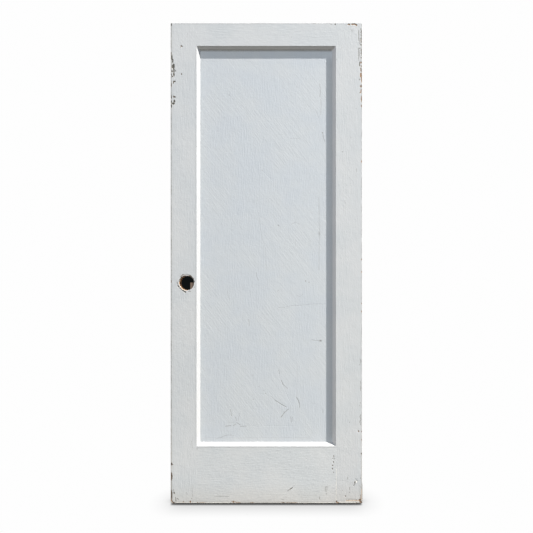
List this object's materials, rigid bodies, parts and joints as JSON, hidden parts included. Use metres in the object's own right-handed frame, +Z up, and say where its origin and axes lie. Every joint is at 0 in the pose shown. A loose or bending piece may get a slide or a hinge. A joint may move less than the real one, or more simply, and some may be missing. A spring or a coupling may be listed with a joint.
{
  "type": "interior door",
  "caption": "Salvaged white-painted interior door leaf with a flat recessed panel, bevelled sticking, a round lock bore and hinge gains.",
  "frame": {"origin": "middle of the floor of the lower hinge gain", "axes": "+X points out of the hinge edge, +Y points out of the back face (the hinge knuckle side), +Z is up along the stiles"},
  "size_m": [0.812, 0.035, 2.032],
  "materials": {
    "painted_wood": "worn gloss paint",
    "painted_panel": "worn gloss paint",
    "bare_wood": "unfinished"
  },
  "bodies": {
    "root": {"lock_stile": "painted_wood", "hinge_stile": "painted_wood", "top_rail": "painted_wood", "bottom_rail": "painted_wood", "panel": "painted_panel", "dowel_top_lock_1": "bare_wood", "dowel_top_lock_2": "bare_wood", "dowel_top_hinge_1": "bare_wood", "dowel_top_hinge_2": "bare_wood", "dowel_bottom_lock_1": "bare_wood", "dowel_bottom_lock_2": "bare_wood", "dowel_bottom_lock_3": "bare_wood", "dowel_bottom_hinge_1": "bare_wood", "dowel_bottom_hinge_2": "bare_wood", "dowel_bottom_hinge_3": "bare_wood"}
  },
  "joints": []
}
